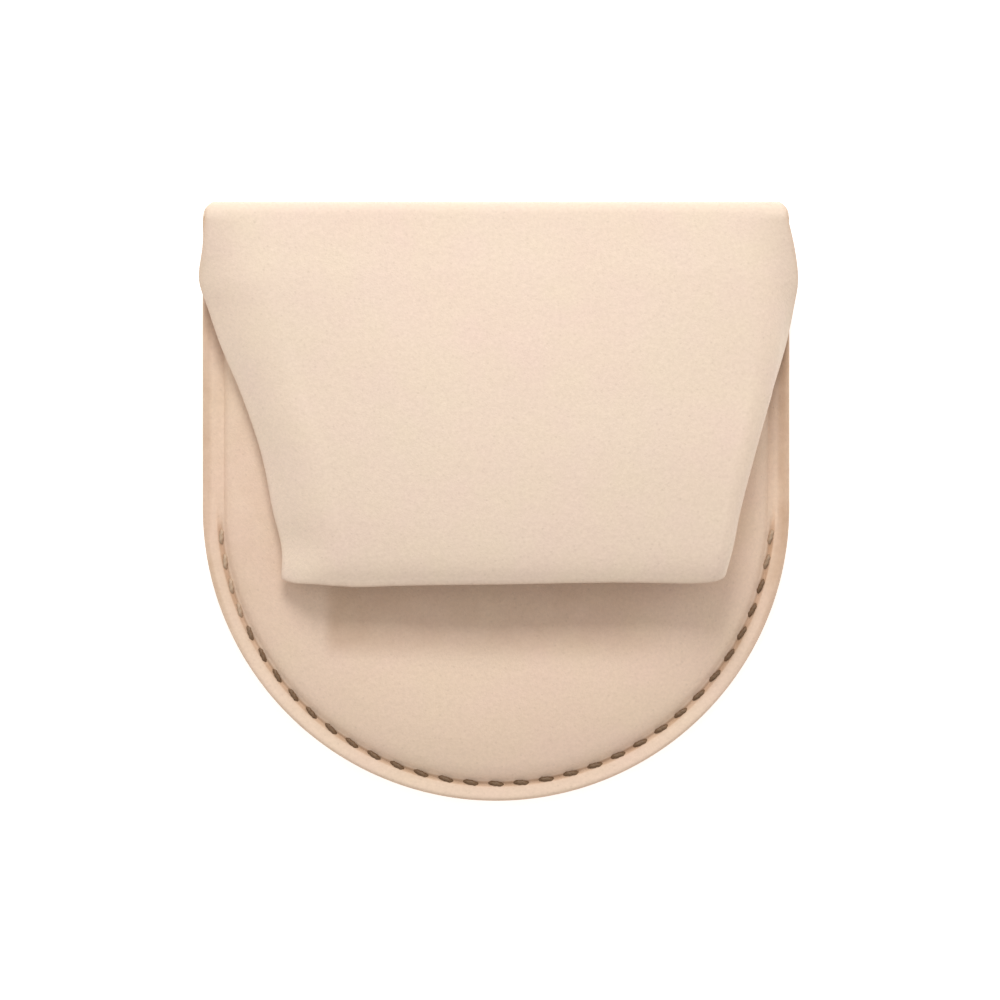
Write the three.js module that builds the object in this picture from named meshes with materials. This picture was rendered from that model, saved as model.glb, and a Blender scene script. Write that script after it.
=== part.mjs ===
// A leather coin case, closed, lying on its flat back.
// Millimetres: X runs across the case, +Y towards the fold, +Z out of the front.

import * as THREE from 'three';
import { mergeVertices } from 'three/addons/utils/BufferGeometryUtils.js';

// Hide
const leather = 1.8; // thickness of both pieces of hide
const seamGap = 0.1; // glue line between the flange and the back panel

// Body, a U seen from the front
const caseHeight = 90; // from the fold to the bottom of the U
const bodyWidth = 88.2;

// Front panel
const mouthDrop = 12; // from the fold down to the mouth of the pocket
const domeRise = 5.8; // from the flange up to the middle of the dome
const stitchInset = 2.6; // from the edge of the U to the row of stitches
const grooveWidth = 1.2; // the groove that the stitches lie in
const grooveDepth = 0.45;

// Spine and flap
const foldRadius = 2.4; // outside radius of both bends of the spine
const spinePinch = 1.1; // how much each end of the spine draws in
const flapDrop = 57.6; // from the fold down to the flap's lower edge
const flapRise = 9.4; // how much the flap climbs from the spine to its highest part
const mouthGap = 0.7; // between the flap and the mouth that it covers
const bendWidth = 9.5; // widest strip of hide in the soft crease at each side
const wingWidth = 7.4; // widest margin turned back beyond the crease
const wingGap = 0.4; // between a margin's free edge and the front panel
const crown = 2; // how much the flap's face falls from its middle to its creases
const crownedFrom = 0.5; // place on the flap from which it is fully crowned
const lipSweep = 3; // how far the margins end short of the flap's lower edge

// The flap from the spine (0) to its lower edge (1). Height is a share of flapRise.
const flapProfile = [
  { at: 0, height: 0 },
  { at: 0.08, height: 0.14 },
  { at: 0.17, height: 0.3 },
  { at: 0.35, height: 0.58 },
  { at: 0.48, height: 0.745 },
  { at: 0.64, height: 0.9 },
  { at: 0.8, height: 0.985 },
  { at: 0.9, height: 1 },
  { at: 0.955, height: 0.965 },
  { at: 1, height: 0.86 },
];

// The flap's sides, on the same scale. Reach is the widest point from the middle line, a share of half
// the body's width. Turn is the angle in degrees that the margin has turned through: at 90 it stands
// straight down, and beyond that it leans in. Bend and wing are shares of bendWidth and wingWidth.
const leftSide = [
  { at: 0, reach: 0.991, turn: 0, bend: 1, wing: 0.4 },
  { at: 0.08, reach: 1.001, turn: 12, bend: 1, wing: 0.42 },
  { at: 0.17, reach: 1.014, turn: 29, bend: 1, wing: 0.46 },
  { at: 0.25, reach: 0.983, turn: 39, bend: 1, wing: 0.48 },
  { at: 0.35, reach: 0.94, turn: 46, bend: 1, wing: 0.46 },
  { at: 0.48, reach: 0.871, turn: 50, bend: 0.95, wing: 0.44 },
  { at: 0.64, reach: 0.803, turn: 49, bend: 0.88, wing: 0.55 },
  { at: 0.8, reach: 0.762, turn: 47, bend: 0.8, wing: 0.68 },
  { at: 0.9, reach: 0.733, turn: 45, bend: 0.76, wing: 0.74 },
  { at: 1, reach: 0.735, turn: 43, bend: 0.74, wing: 0.64 },
];
const rightSide = [
  { at: 0, reach: 0.993, turn: 0, bend: 0.8, wing: 0.4 },
  { at: 0.08, reach: 1.018, turn: 16, bend: 0.78, wing: 0.4 },
  { at: 0.17, reach: 1.032, turn: 38, bend: 0.75, wing: 0.42 },
  { at: 0.25, reach: 1.016, turn: 60, bend: 0.7, wing: 0.46 },
  { at: 0.35, reach: 0.988, turn: 78, bend: 0.67, wing: 0.55 },
  { at: 0.48, reach: 0.939, turn: 90, bend: 0.62, wing: 0.7 },
  { at: 0.64, reach: 0.882, turn: 97, bend: 0.54, wing: 0.85 },
  { at: 0.8, reach: 0.83, turn: 105, bend: 0.5, wing: 0.95 },
  { at: 0.9, reach: 0.805, turn: 111, bend: 0.5, wing: 1 },
  { at: 1, reach: 0.77, turn: 114, bend: 0.5, wing: 1 },
];

// Rows of the flap, on the same scale, closer together where it rounds over at its lower edge.
const flapPlaces = [
  0, 0.05, 0.1, 0.15, 0.2, 0.25, 0.3, 0.36, 0.42, 0.49, 0.56, 0.64, 0.72, 0.79, 0.85, 0.9, 0.94, 0.97, 1,
];

// The face's share of the hide's half width, measured at the flap's lower edge.
const faceSpan = 0.77;

// The flap's lower edge from its middle (0) to a margin's free edge (1): how far short of flapDrop each
// side ends, as a share of lipSweep.
const lipSections = [
  { at: 0, left: 0.02, right: 0.02 },
  { at: 0.45, left: -0.03, right: 0.12 },
  { at: 0.72, left: -0.1, right: 0.07 },
  { at: 0.8, left: -0.05, right: 0.17 },
  { at: 0.86, left: 0.03, right: 0.45 },
  { at: 0.95, left: 0.1, right: 0.95 },
  { at: 1, left: 0.3, right: 1.3 },
];

// The dome from the stitch groove (0) to the middle of the case (1). Rise is a share of domeRise.
const domeSections = [
  { at: 0, rise: 0 },
  { at: 0.018, rise: 0.16 },
  { at: 0.055, rise: 0.33 },
  { at: 0.15, rise: 0.59 },
  { at: 0.27, rise: 0.79 },
  { at: 0.45, rise: 0.93 },
  { at: 0.68, rise: 0.985 },
  { at: 1, rise: 1 },
];

// Both materials are the same natural hide. The front panel lies a little in the flap's shade.
const flapHide = new THREE.MeshStandardMaterial({ color: 0xefdbc8, roughness: 0.62, metalness: 0 });
const frontHide = new THREE.MeshStandardMaterial({ color: 0xe3c7b3, roughness: 0.62, metalness: 0 });

// Where the sizes above put things
const radius = bodyWidth / 2;
const foldY = caseHeight / 2;
const arcY = radius - foldY; // centre of the U's round end
const mouthY = foldY - mouthDrop;
const spineY = foldY - foldRadius; // where the back ends and the flap starts
const flapLength = flapDrop - foldRadius;
const flangeTop = 2 * leather + seamGap;
const domeFoot = stitchInset + grooveWidth / 2;

const smoothStep = (t) => t * t * (3 - 2 * t);

// The value of a table's column at any place, along a smooth curve through its rows.
function columnAt(table, column, place) {
  const last = table.length - 1;
  const share = THREE.MathUtils.clamp(place, 0, 1);
  const next = Math.max(1, table.findIndex((row) => row.at >= share));
  const slopeAt = (i) => {
    const before = table[Math.max(0, i - 1)];
    const after = table[Math.min(last, i + 1)];
    return (after[column] - before[column]) / (after.at - before.at);
  };
  const from = table[next - 1];
  const to = table[next];
  const step = to.at - from.at;
  const t = (share - from.at) / step;
  const rest = 1 - t;
  const bow = t * rest * step * (rest * slopeAt(next - 1) - t * slopeAt(next));
  return from[column] + smoothStep(t) * (to[column] - from[column]) + bow;
}

// A closed piece of hide from rows of [outer point, inner point] pairs. Points that meet are joined,
// and every edge that is left open gets the cut edge of the hide.
function hideFromRows(rows) {
  const skin = (face) => {
    const points = rows.flatMap((row) => row.flatMap((pair) => pair[face].toArray()));
    const triangles = [];
    const width = rows[0].length;
    for (let r = 0; r + 1 < rows.length; r++) {
      for (let c = 0; c + 1 < width; c++) {
        const a = r * width + c;
        triangles.push(a, a + width + 1, a + 1, a, a + width, a + width + 1);
      }
    }
    return { points, triangles };
  };
  const outer = skin(0);
  const inner = skin(1);
  const shared = sharedPoints(outer.points);
  const walls = [];
  const edges = new Set();
  const solidTriangles = [];
  for (let i = 0; i < outer.triangles.length; i += 3) {
    const corners = outer.triangles.slice(i, i + 3);
    const joined = corners.map((corner) => shared[corner]);
    if (new Set(joined).size < 3) continue;
    solidTriangles.push(corners);
    for (let k = 0; k < 3; k++) {
      edges.add(`${joined[k]} ${joined[(k + 1) % 3]}`);
    }
  }
  const count = outer.points.length / 3;
  for (const corners of solidTriangles) {
    for (let k = 0; k < 3; k++) {
      const a = corners[k];
      const b = corners[(k + 1) % 3];
      if (edges.has(`${shared[b]} ${shared[a]}`)) continue;
      walls.push([b, a, a + count], [b, a + count, b + count]);
    }
  }
  const innerTriangles = solidTriangles.map(([a, b, c]) => [a + count, c + count, b + count]);
  const geometry = new THREE.BufferGeometry();
  const points = [...outer.points, ...inner.points];
  geometry.setAttribute('position', new THREE.Float32BufferAttribute(points, 3));
  geometry.setIndex([...solidTriangles, ...innerTriangles, ...walls].flat());
  const solid = mergeVertices(geometry, 1e-4);
  solid.computeVertexNormals();
  return solid;
}

// For each point, the number of the first point that lies in the same place.
function sharedPoints(points) {
  const seen = new Map();
  const shared = [];
  for (let i = 0; i < points.length; i += 3) {
    const key = points.slice(i, i + 3).map((value) => Math.round(value * 1000)).join(' ');
    if (!seen.has(key)) seen.set(key, i / 3);
    shared.push(seen.get(key));
  }
  return shared;
}

// Depth of the groove that the stitches lie in, at a distance in from the edge of the U.
function grooveAt(inward) {
  const offCentre = Math.min(1, Math.abs(inward - stitchInset) / (grooveWidth / 2));
  return grooveDepth * (1 - smoothStep(offCentre));
}

// Height of the front panel's outer face at a distance in from the edge of the U.
function frontHeight(inward) {
  if (inward < domeFoot) return flangeTop - grooveAt(inward);
  return flangeTop + domeRise * columnAt(domeSections, 'rise', (inward - domeFoot) / (radius - domeFoot));
}

// The same height anywhere over the body, and nothing beyond its edge.
function frontHeightAt(x, y) {
  const inward = radius - Math.hypot(x, Math.min(0, y - arcY));
  if (inward < 0 || y > mouthY) return 0;
  return frontHeight(inward);
}

// The flap's middle line: its place, and how far its face is tilted towards the fold.
const mouthPlace = (spineY - mouthY) / flapLength;
const heightOverMouth = frontHeight(radius) + mouthGap + leather;
const flapHeight = (place) => {
  const climb = columnAt(flapProfile, 'height', place) - columnAt(flapProfile, 'height', mouthPlace);
  return heightOverMouth + flapRise * climb;
};
function flapTilt(place) {
  const step = 0.002;
  const middle = THREE.MathUtils.clamp(place, step, 1 - step);
  const climb = flapHeight(middle + step) - flapHeight(middle - step);
  return Math.atan(climb / (2 * step * flapLength));
}

// One side of the flap's cross-section at a place: where the crease starts and how it turns.
function sectionAt(table, place) {
  const reach = radius * columnAt(table, 'reach', place);
  const turn = Math.max(0.001, THREE.MathUtils.degToRad(columnAt(table, 'turn', place)));
  const bend = bendWidth * columnAt(table, 'bend', place);
  const wing = wingWidth * columnAt(table, 'wing', place);
  const bendRadius = bend / turn;
  const bentReach = bendRadius * Math.sin(Math.min(turn, Math.PI / 2));
  const crease = reach - bentReach - wing * Math.max(0, Math.cos(turn));
  return { crease, turn, bend, bendRadius, margin: bend + wing };
}

// How much the flap's face has fallen at its creases.
const crownAt = (place) => crown * smoothStep(Math.min(1, place / crownedFrom));

// A point of the flap: along it, out from the crease and in through the hide.
function marginPoint(side, table, place, out, depth) {
  const section = sectionAt(table, place);
  const bent = Math.min(out, section.bend);
  const angle = (section.turn * bent) / section.bend;
  const straight = out - bent;
  const x = section.crease + (section.bendRadius - depth) * Math.sin(angle) + straight * Math.cos(angle);
  const drop = crownAt(place) + section.bendRadius * (1 - Math.cos(angle)) + straight * Math.sin(angle);
  return pointBelowFlap(side * x, place, drop, depth * Math.cos(angle));
}
function facePoint(side, table, place, across, depth) {
  const x = side * sectionAt(table, place).crease * across;
  return pointBelowFlap(x, place, crownAt(place) * across ** 2, depth);
}
function pointBelowFlap(x, place, drop, inward) {
  const tilt = flapTilt(place);
  const y = spineY - flapLength * place - inward * Math.sin(tilt);
  return new THREE.Vector3(x, y, flapHeight(place) - drop - inward * Math.cos(tilt));
}

// The margin's width at a place: all of it, or as much as clears the front panel.
function clearMargin(side, table, place) {
  const { margin } = sectionAt(table, place);
  const step = 0.1;
  for (let out = step; out < margin; out += step) {
    for (const depth of [0, leather]) {
      const point = marginPoint(side, table, place, out, depth);
      if (point.z < frontHeightAt(point.x, point.y) + wingGap) return out - step;
    }
  }
  return margin;
}

// A row of hide, made for one side and then the other, from left to right.
function rowOf(columns, pairAt) {
  const right = columns.map((column, i) => pairAt(1, rightSide, column, i));
  const left = columns.map((column, i) => pairAt(-1, leftSide, column, i));
  return [...left, ...right.reverse()];
}

// Ribs of the U, from the bottom of its round end up to a straight top. Each rib runs in from the edge
// of the U, through all the distances inward, and out again on the other side.
function ribsOfU(inwards, topY, straightSteps, heightsAt) {
  const arcSteps = 16;
  const rows = [];
  const addRib = (spotAt) => rows.push(rowOf(inwards, (side, table, inward) => (
    heightsAt(inward).map(({ shift, z }) => {
      const spot = spotAt(inward + shift);
      return new THREE.Vector3(side * spot.x, spot.y, z);
    })
  )));
  for (let i = 0; i <= arcSteps; i++) {
    const angle = (Math.PI / 2) * (i / arcSteps);
    addRib((inward) => ({
      x: (radius - inward) * Math.sin(angle),
      y: arcY - (radius - inward) * Math.cos(angle),
    }));
  }
  for (let i = 1; i <= straightSteps; i++) {
    const y = THREE.MathUtils.lerp(arcY, topY, i / straightSteps);
    addRib((inward) => ({ x: radius - inward, y }));
  }
  return rows;
}

// Columns of the back and the flap, from the edge of the hide to its middle. On the back they are
// distances inward, on the flap shares of its margin and then of its face.
const grooveColumns = [0, domeFoot - grooveWidth, stitchInset, domeFoot];
const backShares = [0.05, 0.12, 0.2, 0.28, 0.37, 0.46, 0.55, 0.64, 0.73, 0.82, 0.92];
const backColumns = [
  ...grooveColumns,
  ...backShares.map((share) => domeFoot + share * (radius - domeFoot)),
];
const marginShares = [1, 0.88, 0.75, 0.62, 0.5, 0.4, 0.3, 0.2, 0.1];
const faceShares = [1, 0.9, 0.78, 0.6, 0.4, 0.14];
const flapColumns = [
  ...marginShares.map((share) => ({ onFace: false, share, across: faceSpan + share * (1 - faceSpan) })),
  ...faceShares.map((share) => ({ onFace: true, share, across: share * faceSpan })),
];

// The back panel, flat but for the groove of the seam.
function backRows() {
  return ribsOfU(backColumns, spineY, 3, (inward) => [
    { shift: 0, z: grooveAt(inward) },
    { shift: 0, z: leather },
  ]);
}

// The spine: two quarter bends with a short wall between them. The columns of the back draw over to
// those of the flap on the way.
function spineRows() {
  const rows = [];
  const bendSteps = 4;
  const rowCount = 2 * bendSteps + 2;
  const addRow = (centreZ, angle) => {
    const turned = (rows.length + 1) / rowCount;
    const pinch = 1 - (spinePinch / radius) * Math.cos(angle) ** 4;
    rows.push(rowOf(flapColumns, (side, table, column, i) => {
      const onFlap = flatPlace(table, column);
      const x = side * pinch * THREE.MathUtils.lerp(radius - backColumns[i], onFlap, turned);
      const dent = grooveAt(backColumns[i]) * (1 - Math.min(1, 2 * turned));
      return [dent, leather].map((depth) => new THREE.Vector3(
        x,
        spineY + (foldRadius - depth) * Math.cos(angle),
        centreZ + (foldRadius - depth) * Math.sin(angle),
      ));
    }));
  };
  for (let i = 1; i <= bendSteps; i++) {
    addRow(foldRadius, (Math.PI / 2) * (i / bendSteps - 1));
  }
  const upperCentre = flapHeight(0) - foldRadius / Math.cos(flapTilt(0));
  for (let i = 0; i <= bendSteps; i++) {
    addRow(upperCentre, (Math.PI / 2 - flapTilt(0)) * (i / bendSteps));
  }
  return rows;
}

// How far from the middle line a column lies where the flap starts, still flat across.
function flatPlace(table, column) {
  const { crease, margin } = sectionAt(table, 0);
  return column.onFace ? crease * column.share : crease + margin * column.share;
}

// The flap, from the spine down to its lower edge.
function flapRows() {
  return flapPlaces.map((place) => rowOf(flapColumns, (side, table, column) => {
    const short = lipSweep * columnAt(lipSections, side < 0 ? 'left' : 'right', column.across);
    const own = place * (1 - (short / flapLength) * place ** 4);
    return [0, leather].map((depth) => {
      if (column.onFace) return facePoint(side, table, own, column.share, depth);
      return marginPoint(side, table, own, column.share * clearMargin(side, table, own), depth);
    });
  }));
}

// Back panel, spine and flap are one piece of hide.
function backAndFlap() {
  const geometry = hideFromRows([...backRows(), ...spineRows(), ...flapRows()]);
  const mesh = new THREE.Mesh(geometry, flapHide);
  mesh.name = 'back_and_flap';
  return mesh;
}

// The moulded front. Its inner face follows the outer one, and lies flat under the flange.
function frontPanel() {
  const domeShares = [0.018, 0.055, 0.1, 0.17, 0.27, 0.4, 0.55, 0.75, 0.92];
  const onDome = domeShares.map((share) => domeFoot + share * (radius - domeFoot));
  const step = 0.05;
  const heightsAt = (inward) => {
    const rise = frontHeight(inward + step) - frontHeight(Math.max(0, inward - step));
    const slope = inward < domeFoot ? 0 : Math.atan(rise / (2 * step));
    const inner = inward < domeFoot ? leather + seamGap : frontHeight(inward) - leather * Math.cos(slope);
    return [
      { shift: 0, z: frontHeight(inward) },
      { shift: leather * Math.sin(slope), z: Math.max(leather + seamGap, inner) },
    ];
  };
  const rows = ribsOfU([...grooveColumns, ...onDome], mouthY, 4, heightsAt);
  const mesh = new THREE.Mesh(hideFromRows(rows.reverse()), frontHide);
  mesh.name = 'front_panel';
  return mesh;
}

// The case, with the middle of its outline on the origin and its back on the ground.
const coinCase = new THREE.Group();
coinCase.add(backAndFlap(), frontPanel());
const outline = new THREE.Box3().setFromObject(coinCase);
const middle = outline.getCenter(new THREE.Vector3());
coinCase.position.set(-middle.x, -middle.y, 0);

export default coinCase;
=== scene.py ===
import math
import bpy
from mathutils import Matrix, Vector, noise


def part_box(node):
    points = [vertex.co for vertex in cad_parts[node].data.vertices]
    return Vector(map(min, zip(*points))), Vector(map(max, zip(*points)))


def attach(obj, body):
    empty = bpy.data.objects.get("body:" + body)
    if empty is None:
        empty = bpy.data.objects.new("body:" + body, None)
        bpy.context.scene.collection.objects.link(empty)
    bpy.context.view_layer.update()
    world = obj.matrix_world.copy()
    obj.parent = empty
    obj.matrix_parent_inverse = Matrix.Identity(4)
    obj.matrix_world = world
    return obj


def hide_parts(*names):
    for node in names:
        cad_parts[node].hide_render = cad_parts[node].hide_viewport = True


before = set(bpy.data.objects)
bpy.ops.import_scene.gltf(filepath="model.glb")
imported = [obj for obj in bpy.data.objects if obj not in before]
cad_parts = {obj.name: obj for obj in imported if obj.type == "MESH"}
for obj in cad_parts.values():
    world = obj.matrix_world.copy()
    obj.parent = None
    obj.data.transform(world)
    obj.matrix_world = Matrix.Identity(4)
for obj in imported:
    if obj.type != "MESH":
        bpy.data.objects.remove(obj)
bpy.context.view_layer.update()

# The view. The photograph looks straight down on the closed case from far off, with the fold at the
# top, on a pale table. Lengths are metres: the picture is 150 mm wide where the case lies.
picture_width = 0.150
body_in_picture = (-0.0006, 0.000225)  # the body's middle, from the middle of the picture
camera_height = 3.0
sensor = 36.0
back_low, back_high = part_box("back_and_flap")
front_low, front_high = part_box("front_panel")
body_middle = (front_low[0] + front_high[0]) / 2
look_level = front_high[2]
bpy.ops.object.camera_add(location=(
    body_middle - body_in_picture[0],
    body_in_picture[1],
    look_level + camera_height,
))
camera = bpy.context.object
camera.data.sensor_width = sensor
camera.data.lens = sensor * camera_height / picture_width
camera.data.clip_end = 10
bpy.context.scene.camera = camera
bpy.context.scene.view_settings.view_transform = "Standard"

# The table and the light. A white light table, one soft lamp beyond the fold and a little to the left,
# and the light of a pale room from all sides.
table_width = 4
table_glow = 0.55
bpy.ops.mesh.primitive_plane_add(size=table_width, location=(0, 0, 0))
table = bpy.context.object
table.name = "table"


def new_finish(name):
    """A new material, with its node tree and the inputs of its shader."""
    finish = bpy.data.materials.new(name)
    finish.use_nodes = True
    return finish, finish.node_tree, finish.node_tree.nodes["Principled BSDF"].inputs


table_paint, _, paint = new_finish("table_paint")
paint["Base Color"].default_value = (0.93, 0.93, 0.93, 1)
paint["Roughness"].default_value = 0.9
paint["Specular IOR Level"].default_value = 0.1
paint["Emission Color"].default_value = (1, 1, 1, 1)
paint["Emission Strength"].default_value = table_glow
table.data.materials.append(table_paint)

lamp_distance = 1.2
lamp_rise = math.radians(43)
lamp_turn = math.radians(-3)  # from the fold towards the left
lamp_place = Vector((
    math.sin(lamp_turn) * math.cos(lamp_rise),
    math.cos(lamp_turn) * math.cos(lamp_rise),
    math.sin(lamp_rise),
)) * lamp_distance
bpy.ops.object.light_add(type="AREA", location=lamp_place)
lamp = bpy.context.object
lamp.data.size = 0.42
lamp.data.energy = 9.4
lamp.data.color = (0.965, 0.99, 1)
lamp.rotation_euler = (-lamp_place).to_track_quat("-Z", "Y").to_euler()

room = bpy.data.worlds.new("room")
room.use_nodes = True
room_light = room.node_tree.nodes["Background"].inputs
room_light["Color"].default_value = (1, 0.965, 0.93, 1)
room_light["Strength"].default_value = 0.65
bpy.context.scene.world = room


# The hide of the back and the flap. One sheet of undyed vegetable-tanned leather: its back is cut to a
# U, it turns over a moulded spine at the fold, and its two side margins are turned back along soft
# creases while the leather is wet.
leather = 0.0018
cut_edge = 0.0006  # how far in the cut edges are rounded
body_radius = (front_high[0] - front_low[0]) / 2
fold_y = back_high[1]
arc_y = back_low[1] + body_radius
mouth_y = front_high[1]
stitch_inset = 0.0026
groove_width = 0.0012
groove_depth = 0.00045
sewn_up_to = -0.005  # the seam's last stitches, along Y
groove_end = sewn_up_to + 0.006
merge_distance = 0.00002  # points of a hide that are closer than this become one
dome_foot = stitch_inset + groove_width / 2
fold_radius = 0.0024
spine_pinch = 0.0011
spine_y = fold_y - fold_radius
flap_drop = 0.0576
flap_length = flap_drop - fold_radius
flap_rise = 0.0094
bend_width = 0.0095
wing_width = 0.0074
wing_gap = 0.0004
crown = 0.002
crowned_from = 0.5
lip_sweep = 0.003
face_span = 0.77

# Places along the flap run from the spine (0) to its lower edge (1). Heights are shares of flap_rise,
# reaches are shares of the body's half width, turns are degrees, and bends and wings are shares of
# bend_width and wing_width.
flap_profile = {
    "at": (0, 0.08, 0.17, 0.35, 0.48, 0.64, 0.8, 0.9, 0.955, 1),
    "height": (0, 0.14, 0.3, 0.58, 0.745, 0.9, 0.985, 1, 0.965, 0.86),
}
left_side = {
    "at": (0, 0.08, 0.17, 0.25, 0.35, 0.48, 0.64, 0.8, 0.9, 1),
    "reach": (0.991, 1.001, 1.014, 0.983, 0.94, 0.871, 0.803, 0.762, 0.733, 0.735),
    "turn": (0, 12, 29, 39, 46, 50, 49, 47, 45, 43),
    "bend": (1, 1, 1, 1, 1, 0.95, 0.88, 0.8, 0.76, 0.74),
    "wing": (0.4, 0.42, 0.46, 0.48, 0.46, 0.44, 0.55, 0.68, 0.74, 0.64),
}
right_side = {
    "at": (0, 0.08, 0.17, 0.25, 0.35, 0.48, 0.64, 0.8, 0.9, 1),
    "reach": (0.993, 1.018, 1.032, 1.016, 0.988, 0.939, 0.882, 0.83, 0.805, 0.77),
    "turn": (0, 16, 38, 60, 78, 90, 97, 105, 111, 114),
    "bend": (0.8, 0.78, 0.75, 0.7, 0.67, 0.62, 0.54, 0.5, 0.5, 0.5),
    "wing": (0.4, 0.4, 0.42, 0.46, 0.55, 0.7, 0.85, 0.95, 1, 1),
}
# From the middle of the lower edge (0) to a margin's free edge (1): how far short each side ends, in
# lip_sweeps.
lip = {
    "at": (0, 0.45, 0.72, 0.8, 0.86, 0.95, 1),
    "left": (0.02, -0.03, -0.1, -0.05, 0.03, 0.1, 0.3),
    "right": (0.02, 0.12, 0.07, 0.17, 0.45, 0.95, 1.3),
}
# From the foot of the dome (0) to the middle of the case (1).
dome = {
    "at": (0, 0.018, 0.055, 0.15, 0.27, 0.45, 0.68, 1),
    "rise": (0, 0.16, 0.33, 0.59, 0.79, 0.93, 0.985, 1),
}


def smooth_step(t):
    """From 0 to 1, level at both ends."""
    return t * t * (3 - 2 * t)


def read_table(table, column, place):
    """A column of a table at any place, along a smooth curve through its rows."""
    at, values = table["at"], table[column]
    last = len(at) - 1
    place = min(1, max(0, place))
    after = next(i for i in range(1, last + 1) if at[i] >= place or i == last)

    def slope(i):
        low, high = max(0, i - 1), min(last, i + 1)
        return (values[high] - values[low]) / (at[high] - at[low])

    step = at[after] - at[after - 1]
    t = (place - at[after - 1]) / step
    bow = t * (1 - t) * step * ((1 - t) * slope(after - 1) - t * slope(after))
    return values[after - 1] + smooth_step(t) * (values[after] - values[after - 1]) + bow


def near(distance, full, none):
    """1 up to one distance, 0 beyond another, and smooth between."""
    return 1 - smooth_step(min(1, max(0, (distance - full) / (none - full))))


def groove(inward, y):
    """Depth of the seam's groove. It fades out above the last stitches."""
    off_centre = abs(inward - stitch_inset) / (groove_width / 2)
    return groove_depth * near(off_centre, 0, 1) * near(y, sewn_up_to, groove_end)


dome_rise = front_high[2] - front_low[2] - leather
flange_top = front_low[2] + leather


def front_height(inward, y):
    """Height of the front panel's outer face, at a distance in from the edge of the U."""
    if inward < dome_foot:
        return flange_top - groove(inward, y)
    share = (inward - dome_foot) / (body_radius - dome_foot)
    return flange_top + dome_rise * read_table(dome, "rise", share)


def front_height_at(x, y):
    """Height of the front panel at a spot, from the body's middle, or 0 where there is none."""
    inward = body_radius - math.hypot(x, min(0, y - arc_y))
    if inward < 0 or y > mouth_y:
        return 0
    return front_height(inward, y)


def flap_height(place):
    """Height of the flap's outer face along its middle."""
    return back_high[2] + flap_rise * (read_table(flap_profile, "height", place) - 1)


def flap_tilt(place):
    """How steeply the flap climbs, as an angle."""
    step = 0.002
    middle = min(1 - step, max(step, place))
    climb = flap_height(middle + step) - flap_height(middle - step)
    return math.atan(climb / (2 * step * flap_length))


def section(table, place):
    """The flap's cross-section on one side: where its crease starts, the angle, width and radius of its
    bend, and the width of the whole margin."""
    turn = max(0.001, math.radians(read_table(table, "turn", place)))
    bend = bend_width * read_table(table, "bend", place)
    wing = wing_width * read_table(table, "wing", place)
    radius = bend / turn
    crease = body_radius * read_table(table, "reach", place)
    crease -= radius * math.sin(min(turn, math.pi / 2)) + wing * max(0, math.cos(turn))
    return crease, turn, bend, radius, bend + wing


def crown_at(place):
    """How much the flap's face has fallen at its creases."""
    return crown * smooth_step(min(1, place / crowned_from))


def below_flap(x, place, drop, inward=0):
    """A point below the flap's middle line by a drop, and deeper in, square to the flap."""
    tilt = flap_tilt(place)
    y = spine_y - flap_length * place - inward * math.sin(tilt)
    return Vector((x, y, flap_height(place) - drop - inward * math.cos(tilt)))


def margin_point(side, table, place, out, depth):
    """A point of a margin, this far out from its crease and this deep in the leather."""
    crease, turn, bend, radius, _ = section(table, place)
    bent = min(out, bend)
    angle = turn * bent / bend
    x = crease + (radius - depth) * math.sin(angle) + (out - bent) * math.cos(angle)
    drop = crown_at(place) + radius * (1 - math.cos(angle)) + (out - bent) * math.sin(angle)
    return below_flap(side * x, place, drop, depth * math.cos(angle))


def clear_margin(side, table, place):
    """The margin's width, or as much of it as clears the front panel."""
    margin = section(table, place)[4]
    step = 0.0001
    for i in range(1, int(margin / step) + 1):
        for depth in (0, leather):
            point = margin_point(side, table, place, i * step, depth)
            if point.z < front_height_at(point.x, point.y) + wing_gap:
                return (i - 1) * step
    return margin


margin_steps = 50
clear_margins = {
    side: [clear_margin(side, table, i / margin_steps) for i in range(margin_steps + 1)]
    for side, table in ((-1, left_side), (1, right_side))
}


def margin_width(side, place):
    """The clear width of a margin, read between its steps."""
    step = min(margin_steps - 1, int(place * margin_steps))
    share = place * margin_steps - step
    return clear_margins[side][step] * (1 - share) + clear_margins[side][step + 1] * share


# Stations along the hide, from the bottom of the U, up the back, over the spine and down the flap.
# Beside a cut edge the last strip is wide enough for the edge to be rounded. A column's station is a
# share of the flap's face or of its margin, and says which.
round_ribs = 72
straight_ribs = 26
spine_rows = 12
flap_stations = 120
margin_columns = 26
face_columns = 36
groove_columns = (0, 0.0009, 0.0015, 0.002, 0.0022, 0.0024, 0.0026, 0.0028, 0.003, 0.0032)
last_place = 0.984  # before the lip
last_share = 0.92  # before a margin's free edge

flap_places = [last_place * i / flap_stations for i in range(flap_stations + 1)] + [1]
margin_shares = [1] + [last_share * (1 - i / margin_columns) for i in range(margin_columns)]
face_shares = [1 - i / (face_columns + 0.5) for i in range(face_columns + 1)]
hide_columns = [(False, share) for share in margin_shares] + [(True, share) for share in face_shares]
plain_columns = len(hide_columns) - len(groove_columns)
back_columns = list(groove_columns) + [
    dome_foot + (body_radius - dome_foot) * (i + 1) / (plain_columns + 0.5) for i in range(plain_columns)
]


def rib_spot(rib, ribs, top_y, inward):
    """A spot on a rib of the U, at a distance in from its edge. Ribs go from the bottom to a top."""
    if rib <= round_ribs:
        angle = math.pi / 2 * rib / round_ribs
        run = body_radius - inward
        return run * math.sin(angle), arc_y - run * math.cos(angle)
    share = (rib - round_ribs) / (ribs - round_ribs)
    return body_radius - inward, arc_y + (top_y - arc_y) * share


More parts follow.
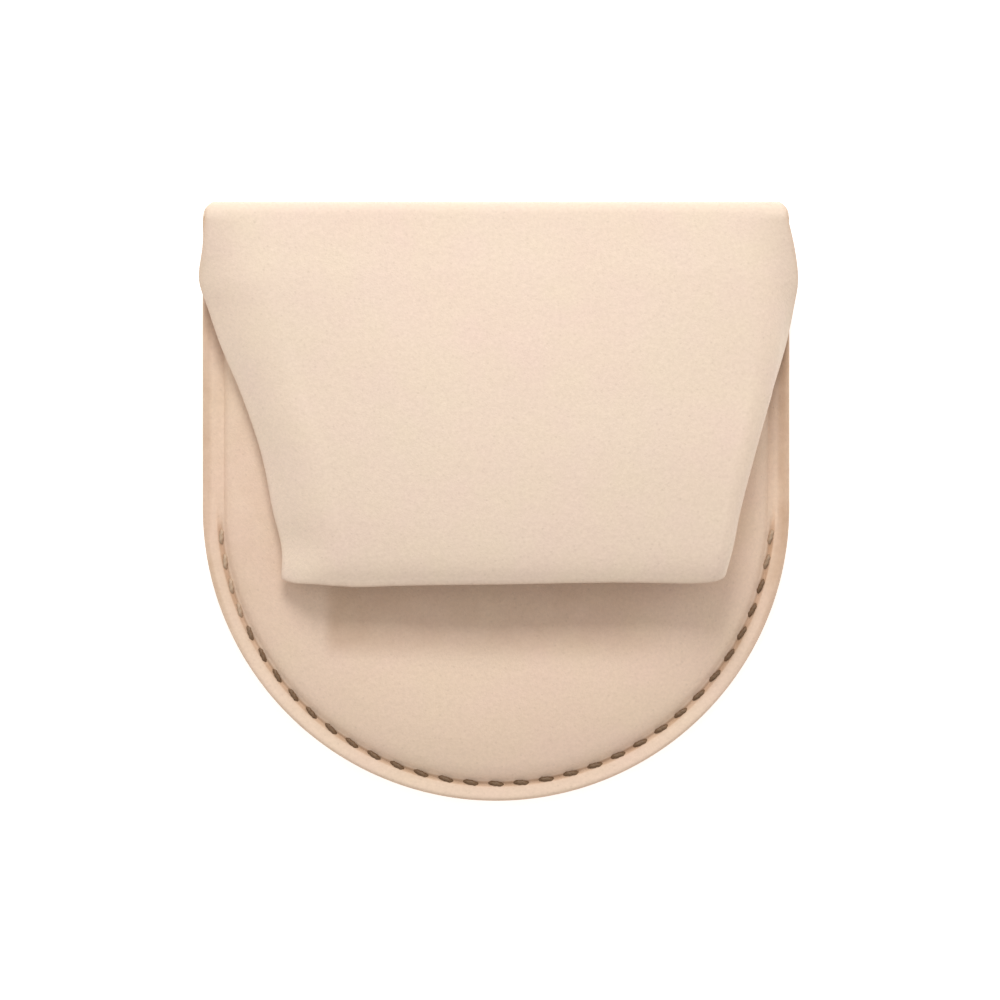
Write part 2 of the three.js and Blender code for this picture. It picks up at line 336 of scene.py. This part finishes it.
def flat_place(table, column):
    """How far out a column lies at the spine, where the margins aren't turned yet."""
    on_face, share = column
    crease, _, _, _, margin = section(table, 0)
    return crease * share if on_face else crease + margin * share


def uneven(point, amount, size, seed):
    """Hide never dries quite smooth: lift a point a little, in waves of about this size."""
    point.z += amount * noise.noise(Vector((point.x / size, point.y / size, seed)))
    return point


def flap_point(row, column, side):
    """A point of the flap's outer face."""
    place = flap_places[row]
    table = right_side if side > 0 else left_side
    on_face, share = hide_columns[column]
    across = share * face_span if on_face else face_span + share * (1 - face_span)
    short = lip_sweep * read_table(lip, "right" if side > 0 else "left", across)
    own = place * (1 - short / flap_length * place ** 4)
    if on_face:
        point = below_flap(side * section(table, own)[0] * share, own, crown_at(own) * share ** 2)
    else:
        point = margin_point(side, table, own, share * margin_width(side, own), 0)
    return uneven(point, amount=0.00022 * place, size=0.016, seed=1.5)


def spine_point(row, column, side):
    """A point of the spine, which has a round corner at the back and another at the flap."""
    table = right_side if side > 0 else left_side
    turned = row / (2 * spine_rows)
    inward = back_columns[column]
    if row <= spine_rows:
        level = fold_radius
        angle = math.pi / 2 * (row / spine_rows - 1)
    else:
        level = flap_height(0) - fold_radius / math.cos(flap_tilt(0))
        angle = (math.pi / 2 - flap_tilt(0)) * (row - spine_rows - 1) / (spine_rows - 2)
    x = (1 - turned) * (body_radius - inward) + turned * flat_place(table, hide_columns[column])
    x *= 1 - spine_pinch / body_radius * math.cos(angle) ** 4
    return Vector((
        side * x,
        spine_y + fold_radius * math.cos(angle),
        level + fold_radius * math.sin(angle),
    ))


def hide_point(row, column, side):
    """Where a point of the outer face of the hide goes: row along it, column in from its edge."""
    if row <= round_ribs + straight_ribs:
        inward = back_columns[column]
        x, y = rib_spot(row, round_ribs + straight_ribs, spine_y, inward)
        return Vector((side * x, y, groove(inward, y)))
    row -= round_ribs + straight_ribs
    if row < 2 * spine_rows:
        return spine_point(row, column, side)
    return flap_point(row - 2 * spine_rows, column, side)


def join_close_points(distance):
    """Join the active mesh's points that are this close, and turn its faces outward."""
    bpy.ops.object.mode_set(mode="EDIT")
    bpy.ops.mesh.select_all(action="SELECT")
    bpy.ops.mesh.remove_doubles(threshold=distance)
    bpy.ops.mesh.normals_make_consistent(inside=False)
    bpy.ops.object.mode_set(mode="OBJECT")


def formed_hide(name, rows, columns, point_at):
    """A flat grid of hide, formed: each of its points goes where point_at says. A row runs from the
    left edge to the middle and on to the right edge. Each point keeps its distance from the cut edge."""
    bpy.ops.object.select_all(action="DESELECT")
    bpy.ops.mesh.primitive_grid_add(x_subdivisions=2 * columns - 1, y_subdivisions=rows - 1, size=2)
    hide = bpy.context.object
    hide.name = name
    hide.data.name = name
    width = 2 * columns
    vertices = hide.data.vertices
    for i, vertex in enumerate(vertices):
        row, place = divmod(i, width)
        side = -1 if place < columns else 1
        column = place if side < 0 else width - 1 - place
        vertex.co = point_at(row, column, side) + Vector((body_middle, 0, 0))
    from_edge = [0.0] * len(vertices)
    for place in range(width):
        run = 0.0
        for row in range(rows - 2, -1, -1):
            i = row * width + place
            run += (vertices[i].co - vertices[i + width].co).length
            from_edge[i] = run
    for row in range(rows):
        for start, step in ((0, 1), (width - 1, -1)):
            run = 0.0
            for column in range(columns):
                i = row * width + start + step * column
                if column:
                    run += (vertices[i].co - vertices[i - step].co).length
                from_edge[i] = min(from_edge[i], run)
    hide.data.attributes.new("from_edge", "FLOAT", "POINT").data.foreach_set("value", from_edge)
    join_close_points(merge_distance)
    return hide


def apply_modifier(piece, kind, **settings):
    """Add a modifier with these settings and apply it."""
    bpy.ops.object.select_all(action="DESELECT")
    bpy.context.view_layer.objects.active = piece
    piece.select_set(True)
    bpy.ops.object.modifier_add(type=kind)
    modifier = piece.modifiers[-1]
    for setting, value in settings.items():
        setattr(modifier, setting, value)
    bpy.ops.object.modifier_apply(modifier=modifier.name)


def thicken_and_round(piece, seam_level):
    """Give the formed face its thickness, with the flesh side in a second finish, and round the edges.
    The groove of the seam is only pressed in: behind it the flesh side stays flat, at the seam's level."""
    count = len(piece.data.vertices)
    apply_modifier(piece, "SOLIDIFY", thickness=leather, offset=-1, use_even_offset=True, material_offset=1)
    vertices = piece.data.vertices
    for i in range(count):
        x, y, z = vertices[i].co
        inward = body_radius - math.hypot(x - body_middle, min(0, y - arc_y))
        if inward < dome_foot + merge_distance and y < groove_end and z < flange_top + merge_distance:
            vertices[i + count].co = (x, y, seam_level)
    apply_modifier(
        piece, "BEVEL",
        width=cut_edge, segments=4, limit_method="ANGLE", angle_limit=math.radians(75),
    )
    bpy.ops.object.shade_smooth_by_angle(angle=math.radians(40))


def keep_burnish_and_shade(piece, burnish_and_shade_at):
    """Keep, for every point, how much it is darkened: by rubbing, and by painted shade."""
    from_edge = piece.data.attributes["from_edge"].data
    amounts = [
        burnish_and_shade_at(vertex.co, vertex.normal, from_edge[i].value)
        for i, vertex in enumerate(piece.data.vertices)
    ]
    piece.data.attributes.remove(piece.data.attributes["from_edge"])
    piece.data.attributes.new("burnish_and_shade", "FLOAT", "POINT").data.foreach_set("value", amounts)


def effect(name, inputs, outputs):
    """A shader node group with named inputs and outputs."""
    group = bpy.data.node_groups.new(name, "ShaderNodeTree")
    for label, kind in inputs.items():
        group.interface.new_socket(label, in_out="INPUT", socket_type="NodeSocket" + kind)
    for label, kind in outputs.items():
        group.interface.new_socket(label, in_out="OUTPUT", socket_type="NodeSocket" + kind)
    return group, group.nodes.new("NodeGroupInput").outputs, group.nodes.new("NodeGroupOutput").inputs


def add_node(tree, kind, inputs, **settings):
    """A node with its inputs set to values, or linked to the outputs of other nodes."""
    made = tree.nodes.new("ShaderNode" + kind)
    for setting, value in settings.items():
        setattr(made, setting, value)
    for socket, value in inputs.items():
        if isinstance(value, bpy.types.NodeSocket):
            tree.links.new(value, made.inputs[socket])
        else:
            made.inputs[socket].default_value = value
    return made.outputs


def times_plus(tree, value, factor, added):
    """A value times a factor, plus another value."""
    return add_node(tree, "Math", {0: value, 1: factor, 2: added}, operation="MULTIPLY_ADD")[0]


def noise_between(tree, place, size, low, high, detail=2):
    """Noise in waves of about this size, spread between two values."""
    waves = add_node(tree, "TexNoise", {"Vector": place, "Scale": 1 / size, "Detail": detail})["Fac"]
    return add_node(tree, "MapRange", {
        "Value": waves, "From Min": 0.3, "From Max": 0.7, "To Min": low, "To Max": high,
    })["Result"]


def mixed(tree, share, first, second):
    """Two colours mixed. A colour Mix node keeps its colour sockets at 6 and 7, and its result at 2."""
    return add_node(tree, "Mix", {0: share, 6: first, 7: second}, data_type="RGBA")[2]


hide_tone, hide_in, hide_out = effect(
    "hide_tone",
    {"Place": "Vector", "Hide": "Color", "Blush": "Color", "Straw": "Color", "Pores": "Float"},
    {"Color": "Color", "Patchy": "Float"},
)
blush_share = noise_between(hide_tone, hide_in["Place"], size=0.017, low=0.0, high=0.75, detail=3)
blushed = mixed(hide_tone, blush_share, hide_in["Hide"], hide_in["Blush"])
aside = add_node(hide_tone, "Mapping", {"Vector": hide_in["Place"], "Location": (0.3, 0.1, 0.2)})[0]
straw_share = noise_between(hide_tone, aside, size=0.007, low=0.0, high=0.6)
toned = mixed(hide_tone, straw_share, blushed, hide_in["Straw"])
fleck = noise_between(hide_tone, hide_in["Place"], size=0.0005, low=0.955, high=1.04, detail=4)
pore_shade = times_plus(hide_tone, hide_in["Pores"], -0.07, fleck)
tone = add_node(hide_tone, "HueSaturation", {"Value": pore_shade, "Color": toned})["Color"]
hide_tone.links.new(tone, hide_out["Color"])
hide_tone.links.new(blush_share, hide_out["Patchy"])

hide_grain, grain_in, grain_out = effect(
    "hide_grain", {"Place": "Vector", "Density": "Float"}, {"Height": "Float", "Pores": "Float"},
)
pebbles = add_node(
    hide_grain, "TexVoronoi", {"Vector": grain_in["Place"], "Scale": grain_in["Density"]},
    feature="DISTANCE_TO_EDGE",
)["Distance"]
pebble_height = add_node(hide_grain, "MapRange", {"Value": pebbles, "From Max": 0.28})["Result"]
pore_density = add_node(hide_grain, "Math", {0: grain_in["Density"], 1: 0.42}, operation="MULTIPLY")[0]
pore_spots = add_node(
    hide_grain, "TexVoronoi", {"Vector": grain_in["Place"], "Scale": pore_density})["Distance"]
pores = add_node(hide_grain, "MapRange", {
    "Value": pore_spots, "From Min": 0.07, "From Max": 0.2, "To Min": 1.0, "To Max": 0.0,
})["Result"]
ripple = noise_between(hide_grain, grain_in["Place"], size=0.0012, low=0.0, high=1.2, detail=4)
rippled_pebbles = times_plus(hide_grain, pebble_height, 0.5, ripple)
grain_height = times_plus(hide_grain, pores, -0.5, rippled_pebbles)
hide_grain.links.new(grain_height, grain_out["Height"])
hide_grain.links.new(pores, grain_out["Pores"])

# Darkens a colour towards a brown, and makes it less rough, by one share that holds real rubbing and also
# painted shade.
rub_and_paint_shade, rub_shade_in, rub_shade_out = effect(
    "rub_and_paint_shade",
    {"Place": "Vector", "Color": "Color", "Rubbed_and_shaded": "Color", "Burnish_and_shade": "Float", "Roughness": "Float"},
    {"Color": "Color", "Roughness": "Float"},
)
patchy_rub_and_shade = noise_between(rub_and_paint_shade, rub_shade_in["Place"], size=0.0035, low=0.75, high=1.2)
rub_and_shade_share = add_node(rub_and_paint_shade, "Math", {0: rub_shade_in["Burnish_and_shade"], 1: patchy_rub_and_shade}, operation="MULTIPLY")[0]
rub_and_paint_shade.links.new(mixed(rub_and_paint_shade, rub_and_shade_share, rub_shade_in["Color"], rub_shade_in["Rubbed_and_shaded"]), rub_shade_out["Color"])
rub_and_shade_roughness = add_node(rub_and_paint_shade, "MapRange", {
    "Value": rub_and_shade_share, "To Min": rub_shade_in["Roughness"], "To Max": 0.4,
})["Result"]
rub_and_paint_shade.links.new(rub_and_shade_roughness, rub_shade_out["Roughness"])

grain_density = 2100  # pebbles of the grain in a metre
# The brown of rubbed edges, also used for painted shade.
rub_and_shade_brown = (0.42, 0.24, 0.125, 1)


def grain_side(name, hide, blush, straw):
    """The smooth side of natural hide: clouds of colour, pores and fine grain, rubbed edges, and painted
    shade in the same brown.
    """
    finish, tree, surface = new_finish(name)
    surface["Specular IOR Level"].default_value = 0.32
    place = add_node(tree, "TexCoord", {})["Object"]
    burnish_and_shade = add_node(tree, "Attribute", {}, attribute_name="burnish_and_shade")["Fac"]
    grain = add_node(tree, "Group", {"Place": place, "Density": grain_density}, node_tree=hide_grain)
    toned = add_node(tree, "Group", {
        "Place": place, "Pores": grain["Pores"], "Hide": hide, "Blush": blush, "Straw": straw,
    }, node_tree=hide_tone)
    roughness = add_node(tree, "MapRange", {
        "Value": toned["Patchy"], "To Min": 0.56, "To Max": 0.68,
    })["Result"]
    rubbed_and_shaded_tone = add_node(tree, "Group", {
        "Place": place, "Color": toned["Color"], "Rubbed_and_shaded": rub_and_shade_brown,
        "Burnish_and_shade": burnish_and_shade, "Roughness": roughness,
    }, node_tree=rub_and_paint_shade)
    tree.links.new(rubbed_and_shaded_tone["Color"], surface["Base Color"])
    tree.links.new(rubbed_and_shaded_tone["Roughness"], surface["Roughness"])
    bump = add_node(tree, "Bump", {"Strength": 0.5, "Distance": 0.00004, "Height": grain["Height"]})
    tree.links.new(bump["Normal"], surface["Normal"])
    return finish


natural_hide = grain_side(
    "natural_hide",
    hide=(0.738, 0.59, 0.478, 1),
    blush=(0.748, 0.574, 0.479, 1),
    straw=(0.741, 0.608, 0.466, 1),
)

# The flesh side inside is unfinished: darker, matt and fibrous.
flesh_side, flesh_tree, flesh = new_finish("flesh_side")
flesh["Roughness"].default_value = 0.92
flesh["Specular IOR Level"].default_value = 0.15
flesh_place = add_node(flesh_tree, "TexCoord", {})["Object"]
combed = add_node(flesh_tree, "Mapping", {"Vector": flesh_place, "Scale": (1.0, 0.35, 1.0)})[0]
fibres = noise_between(flesh_tree, combed, size=0.00045, low=0.0, high=1.0, detail=6)
flesh_tone = mixed(flesh_tree, fibres, (0.52, 0.34, 0.205, 1), (0.64, 0.46, 0.31, 1))
flesh_tree.links.new(flesh_tone, flesh["Base Color"])
flesh_bump = add_node(flesh_tree, "Bump", {"Strength": 0.6, "Distance": 0.00008, "Height": fibres})
flesh_tree.links.new(flesh_bump["Normal"], flesh["Normal"])

hide_rows = round_ribs + straight_ribs + 2 * spine_rows + len(flap_places)
back_and_flap = formed_hide("back_and_flap_hide", hide_rows, len(hide_columns), hide_point)
back_and_flap.data.materials.append(natural_hide)
back_and_flap.data.materials.append(flesh_side)
thicken_and_round(back_and_flap, leather)


def painted_groove_shade(y, from_edge):
    """Painted shade in the seam's groove, as far as it is sewn."""
    in_groove = near(abs(from_edge - stitch_inset), 0.0003, 0.0008)
    return 0.6 * in_groove * near(y, sewn_up_to, sewn_up_to + 0.004)


def burnished_wall(normal, from_edge):
    """The cut edge is rubbed brown where it stands upright."""
    return 0.75 * (1 - abs(normal.z)) * near(from_edge, 0, 0.0003)


def hide_burnish_and_shade(point, normal, from_edge):
    """The back's cut edge is burnished like the front's and its groove gets the same painted shade; the
    flap's edges are only a little rubbed.
    """
    if point.z < leather + 0.0001 and point.y < mouth_y:
        return max(burnished_wall(normal, from_edge), painted_groove_shade(point.y, from_edge))
    return 0.3 * near(from_edge, 0, 0.0006)


keep_burnish_and_shade(back_and_flap, hide_burnish_and_shade)
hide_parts("back_and_flap")
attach(back_and_flap, "root")

# The front panel. A second sheet of the same hide, moulded wet over a form into a low dome, with a flat
# flange round the U that is glued and saddle-stitched to the back. Its edge is rubbed brown along the
# sides, and painted shade darkens its upper sides, its groove and the band below the flap's lip.
front_ribs = 46
dome_columns = 60
front_columns = list(groove_columns) + [
    dome_foot + (body_radius - dome_foot) * ((i + 1) / dome_columns) ** 1.6
    for i in range(dome_columns)
]


def front_point(row, column, side):
    """Where a point of the outer face of the front panel goes."""
    inward = front_columns[column]
    x, y = rib_spot(row, round_ribs + front_ribs, mouth_y, inward)
    on_dome = 1 - near(inward, dome_foot, 3 * dome_foot)
    point = Vector((side * x, y, front_height(inward, y)))
    return uneven(point, amount=0.00018 * on_dome, size=0.012, seed=7.5)


front_panel = formed_hide("front_panel_hide", round_ribs + front_ribs + 1, len(front_columns), front_point)
# The same hide as the back and flap, in a lighter and warmer copy: painted light, for the warm light
# reflected between the leather parts.
front_hide_with_painted_light = grain_side(
    "front_hide_with_painted_light",
    hide=(0.797, 0.613, 0.482, 1),
    blush=(0.807, 0.597, 0.482, 1),
    straw=(0.797, 0.627, 0.469, 1),
)
front_panel.data.materials.append(front_hide_with_painted_light)
front_panel.data.materials.append(flesh_side)
thicken_and_round(front_panel, front_low[2])

# Rubbing and painted shade on the front. A fade is a pair of distances: full up to the first and gone at
# the second. "down" is measured from the middle of the case, and "in" from the cut edge.
# Painted shadow below the flap's lip: its middle line, its left end and its fades.
lip_shadow_y = -0.0172
lip_shadow_left = -0.0266  # its left end, from the body's middle
lip_shadow_half_height = (0.0035, 0.0072)
lip_shadow_starts = (0, 0.0026)
lip_shadow_darkest = (0.003, 0.017)
lip_shadow_ends = (0.044, 0.056)
side_shade_out = (0.024, 0.034)
side_shade_down = (0.01, 0.03)
line_down = (0.012, 0.03)
line_in = (0.0005, 0.0009)
# Per side: "strip" is an edge strip, rubbed brown on the left and painted shade over the flange on the
# right; "side" is painted shade over the upper side beside the flap.
edge_rub_and_shade = {
    "left": {"strip": 0.36, "down": (0.002, 0.0095), "in": (0.0009, 0.0015), "side": 0.16},
    "right": {"strip": 0.54, "down": (0.006, 0.022), "in": (0.0012, 0.0021), "side": 0.07},
}


def painted_lip_shadow(point):
    """Painted shadow of the flap's lip on the front, just below the lip, and darkest at the left."""
    below_lip = near(abs(point.y - lip_shadow_y), *lip_shadow_half_height)
    from_left = point.x - body_middle - lip_shadow_left
    amount = 0.2 + 0.14 * near(from_left, *lip_shadow_darkest)
    return amount * below_lip * (1 - near(from_left, *lip_shadow_starts)) * near(from_left, *lip_shadow_ends)


def front_burnish_and_shade(point, normal, from_edge):
    """How dark the front is made: painted shade over the upper sides, an edge strip rubbed on the left and
    painted shade over the flange on the right, a rubbed thin line, the rubbed cut, and painted shade in the
    groove and below the lip.
    """
    down = -point.y
    marks = edge_rub_and_shade["right" if point.x > body_middle else "left"]
    far_out = 1 - near(abs(point.x - body_middle), *side_shade_out)
    # Painted shade over the upper side beside the flap, stronger on the left.
    side = marks["side"] * (far_out * near(down, *side_shade_down))
    # Edge strip: rubbed brown on the left, painted shade over the flange on the right.
    strip = marks["strip"] * near(down, *marks["down"]) * near(from_edge, *marks["in"])
    line = 0.42 * near(down, *line_down) * near(from_edge, *line_in)
    wall = burnished_wall(normal, from_edge)
    return max(side, strip, line, wall, painted_lip_shadow(point), painted_groove_shade(point.y, from_edge))


keep_burnish_and_shade(front_panel, front_burnish_and_shade)
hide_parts("front_panel")
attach(front_panel, "root")

# The seam. Waxed brown linen thread, sewn by hand through both hides from one side of the U to the
# other. Each stitch lies a little aslant in the groove and dives into the hide at both ends.
stitch_count = 33
stitch_pitch = 0.0038
stitch_length = 0.0027
stitch_slant = math.radians(-12)
thread_radius = 0.00036
stitch_around = 10
stitch_along = 14
stitch_dive = 0.00055
thread_turns = 1.5  # of the two strands, in one stitch
strand_bulge = 0.14
seam_radius = body_radius - stitch_inset

waxed_thread, thread_tree, thread = new_finish("waxed_thread")
thread["Roughness"].default_value = 0.5
thread_place = add_node(thread_tree, "TexCoord", {})["Object"]
thread_fibres = noise_between(thread_tree, thread_place, size=0.00012, low=0.0, high=1.0, detail=3)
thread_tone = mixed(thread_tree, thread_fibres, (0.125, 0.068, 0.032, 1), (0.225, 0.13, 0.066, 1))
# Painted light: the stitches up the sides are mixed towards a light tan.
thread_painted_light = add_node(thread_tree, "Attribute", {}, attribute_name="painted_light")["Fac"]
painted_light_tone = mixed(thread_tree, thread_painted_light, thread_tone, (0.6, 0.44, 0.31, 1))
thread_tree.links.new(painted_light_tone, thread["Base Color"])
thread_bump = add_node(thread_tree, "Bump", {"Strength": 0.6, "Distance": 0.00003, "Height": thread_fibres})
thread_tree.links.new(thread_bump["Normal"], thread["Normal"])


def stitch_point(along, around):
    """A point of a stitch that lies along X, with its middle on the origin and its top towards +Z."""
    share = 2 * along / stitch_along - 1
    angle = 2 * math.pi * around / stitch_around
    strands = 1 + strand_bulge * math.cos(2 * (angle - math.pi * thread_turns * share))
    radius = thread_radius * strands * math.sqrt(1 - abs(share) ** 2.6)
    dive = stitch_dive * abs(share) ** 4
    return Vector((
        share * stitch_length / 2,
        radius * math.cos(angle),
        radius * math.sin(angle) - dive,
    ))


def stitch_painted_light(x, y):
    """How much a front stitch is painted lighter, as painted light where the lamp lights the seam's sides:
    most at the top of the left side.
    """
    if x < body_middle:
        return 0.72 * near(-y, 0.0155, 0.021)
    return 0.6 * near(-y, 0.0065, 0.013)


def stitch_row(name, level, facing):
    """One side's row of stitches, at a height, with their tops facing up (1) or down (-1)."""
    bpy.ops.object.select_all(action="DESELECT")
    bpy.ops.mesh.primitive_grid_add(x_subdivisions=stitch_around, y_subdivisions=stitch_along, size=2)
    first = bpy.context.object
    for i, vertex in enumerate(first.data.vertices):
        vertex.co = stitch_point(*divmod(i, stitch_around + 1))
    join_close_points(0.000001)
    stitches = [first]
    for _ in range(stitch_count - 1):
        stitch = first.copy()
        stitch.data = first.data.copy()
        bpy.context.collection.objects.link(stitch)
        stitches.append(stitch)
    for i, stitch in enumerate(stitches):
        angle = (i - (stitch_count - 1) / 2) * stitch_pitch / seam_radius
        spot = Vector((
            body_middle + seam_radius * math.sin(angle),
            arc_y - seam_radius * math.cos(angle),
            level,
        ))
        turn = Matrix.Rotation(angle + stitch_slant, 4, "Z")
        over = Matrix.Rotation(0 if facing > 0 else math.pi, 4, "X")
        stitch.data.transform(Matrix.Translation(spot) @ turn @ over)
        painted_light = stitch.data.attributes.new("painted_light", "FLOAT", "POINT").data
        painted_light.foreach_set("value", [stitch_painted_light(spot.x, spot.y) if facing > 0 else 0.0] * len(painted_light))
    bpy.ops.object.select_all(action="DESELECT")
    for stitch in stitches:
        stitch.select_set(True)
    bpy.context.view_layer.objects.active = first
    bpy.ops.object.join()
    row = bpy.context.object
    row.name = name
    row.data.name = name
    bpy.ops.object.shade_smooth()
    row.data.materials.append(waxed_thread)
    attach(row, "root")


groove_floor = flange_top - groove_depth
stitch_row("front_stitches", groove_floor + 0.65 * thread_radius, 1)
stitch_row("back_stitches", groove_depth - 0.05 * thread_radius, -1)
